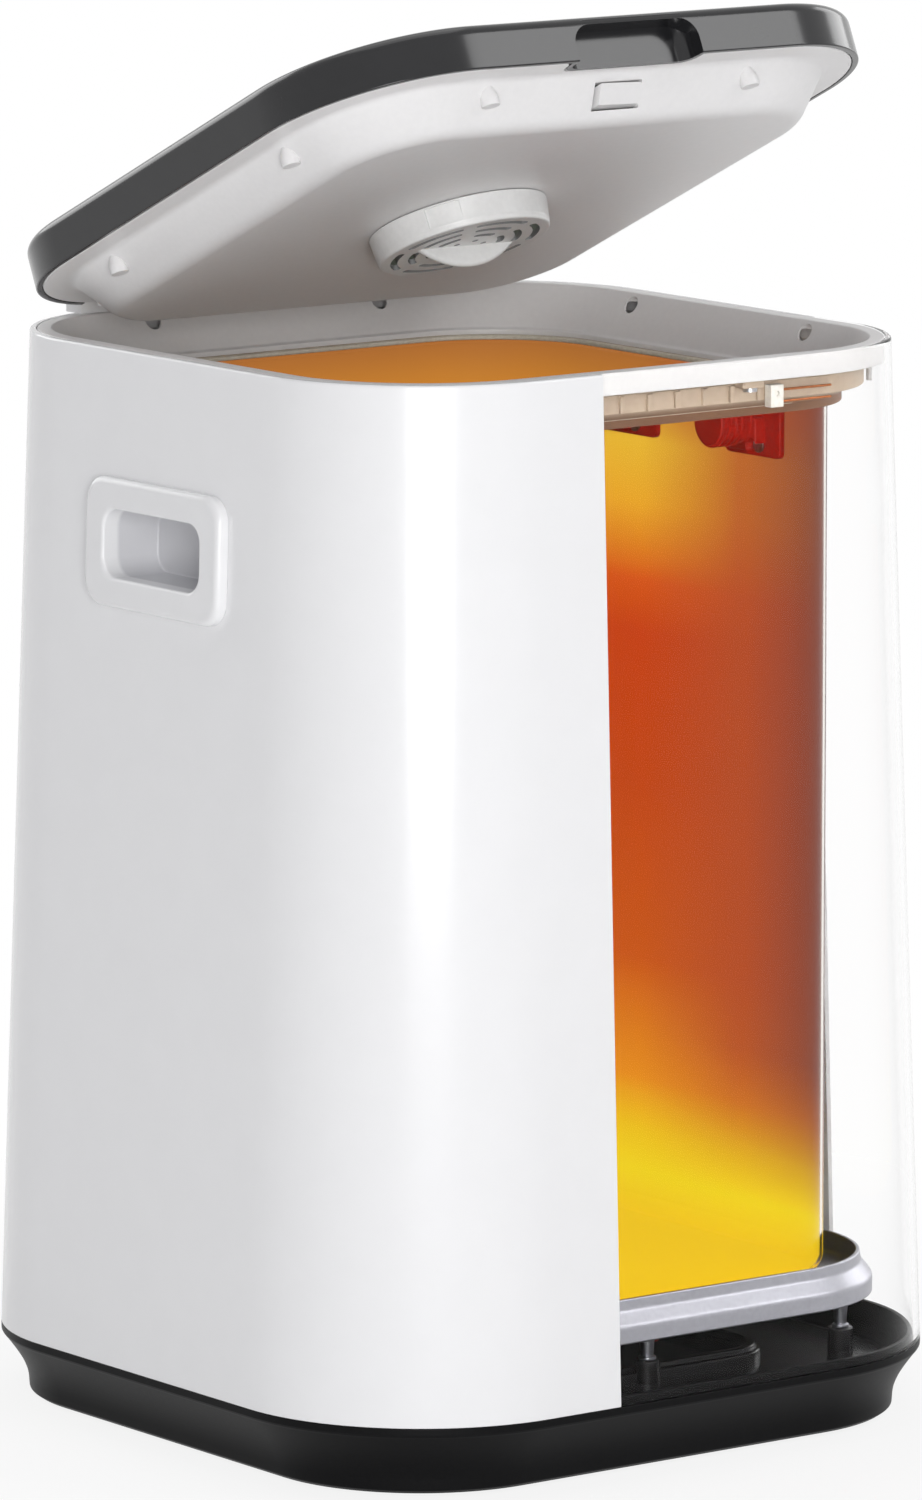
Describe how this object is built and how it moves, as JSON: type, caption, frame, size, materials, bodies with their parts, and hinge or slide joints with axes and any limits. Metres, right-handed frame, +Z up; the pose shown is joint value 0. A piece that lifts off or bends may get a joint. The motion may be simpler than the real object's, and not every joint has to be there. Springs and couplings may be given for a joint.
{
  "type": "towel warmer bucket",
  "caption": "Square-plan towel warmer bucket with a friction-hinged lid, a clear cut-away section, a cast heater tray, recessed side grips and a flared base.",
  "frame": {"origin": "middle of the footprint, on the surface that the rubber feet stand on", "axes": "+Z up, -Y towards the front where the finger recess is, +X to the right seen from the front"},
  "size_m": [0.3, 0.3, 0.5447],
  "materials": {
    "base_plastic": "satin",
    "floor_plastic": "gloss",
    "foot_rubber": "matte",
    "screw_steel": "satin",
    "gland_rubber": "matte",
    "tray_aluminium": "cast satin",
    "post_steel": "satin",
    "element_steel": "heat stained",
    "ceramic": "matte",
    "board_green": "satin",
    "terminal_plastic": "matte",
    "relay_blue": "satin",
    "wire_red": "satin",
    "bucket_orange": "satin",
    "bucket_clear": "clear gloss",
    "seal_silicone": "matte",
    "probe_red": "satin",
    "casing_white": "gloss",
    "casing_clear": "clear gloss",
    "grip_white": "satin",
    "collar_white": "satin",
    "frame_cream": "satin",
    "switch_white": "satin",
    "lead_copper": "fine wire",
    "hinge_white": "satin",
    "pin_steel": "polished",
    "lid_dark": "gloss",
    "lid_white": "satin",
    "arm_dark": "satin",
    "panel_black": "gloss",
    "lens_clear": "frosted",
    "magnet_nickel": "plated",
    "diffuser_white": "satin",
    "felt": "felt",
    "button_silver": "satin"
  },
  "bodies": {
    "warmer": {"base_housing": "base_plastic", "base_deck": "base_plastic", "floor_plate": "floor_plastic", "floor_ring": "floor_plastic", "post_bosses": "floor_plastic", "cover_pillars": "floor_plastic", "bottom_cover": "base_plastic", "rubber_feet": "foot_rubber", "base_screws": "screw_steel", "cord_gland": "gland_rubber", "heater_tray": "tray_aluminium", "tray_rim": "tray_aluminium", "tray_posts": "post_steel", "heating_element": "element_steel", "element_clips": "screw_steel", "thermostat": "ceramic", "thermal_fuse": "ceramic", "fuse_strap": "screw_steel", "control_board": "board_green", "board_screws": "screw_steel", "terminal_block": "terminal_plastic", "power_relay": "relay_blue", "base_wiring": "wire_red", "inner_bucket": "bucket_orange", "bucket_floor": "bucket_orange", "bucket_flange": "bucket_orange", "bucket_window": "bucket_clear", "bucket_seal": "seal_silicone", "probe_housings": "probe_red", "probe_screws": "screw_steel", "outer_casing": "casing_white", "casing_window": "casing_clear", "grip_left": "grip_white", "grip_right": "grip_white", "top_collar": "collar_white", "collar_underframe": "frame_cream", "underframe_ledge": "frame_cream", "collar_screws": "screw_steel", "lid_switch": "switch_white", "switch_leads": "lead_copper", "hinge_brackets": "hinge_white", "hinge_screws": "screw_steel", "hinge_pins": "pin_steel"},
    "lid": {"lid_top_cover": "lid_dark", "lid_inner_cover": "lid_white", "lid_hinge_arms": "arm_dark", "arm_screws": "screw_steel", "lid_board": "board_green", "lid_board_screws": "screw_steel", "control_panel": "panel_black", "indicator_lenses": "lens_clear", "lid_magnet": "magnet_nickel", "diffuser_holder": "lid_white"},
    "diffuser": {"diffuser_cap": "diffuser_white", "fragrance_pad": "felt"},
    "power_button": {"power_button": "button_silver"},
    "timer_button": {"timer_button": "button_silver"}
  },
  "joints": [
    {"name": "lid_hinge", "type": "hinge", "parent": "warmer", "child": "lid", "pos_m": [0, 0.135, 0.4279], "axis": [-1, 0, 0], "range_deg": [-24.5, 68]},
    {"name": "diffuser_twist", "type": "hinge", "parent": "lid", "child": "diffuser", "pos_m": [0, 0.001, 0.45941], "axis": [0, 0.4147, 0.91], "range_deg": [0, 45]},
    {"name": "power_press", "type": "slide", "parent": "lid", "child": "power_button", "axis": [0, -0.4147, -0.91], "range_m": [0, 0.0012], "stiffness_N_per_m": 800, "springref_m": -0.0004},
    {"name": "timer_press", "type": "slide", "parent": "lid", "child": "timer_button", "axis": [0, -0.4147, -0.91], "range_m": [0, 0.0012], "stiffness_N_per_m": 800, "springref_m": -0.0004}
  ]
}
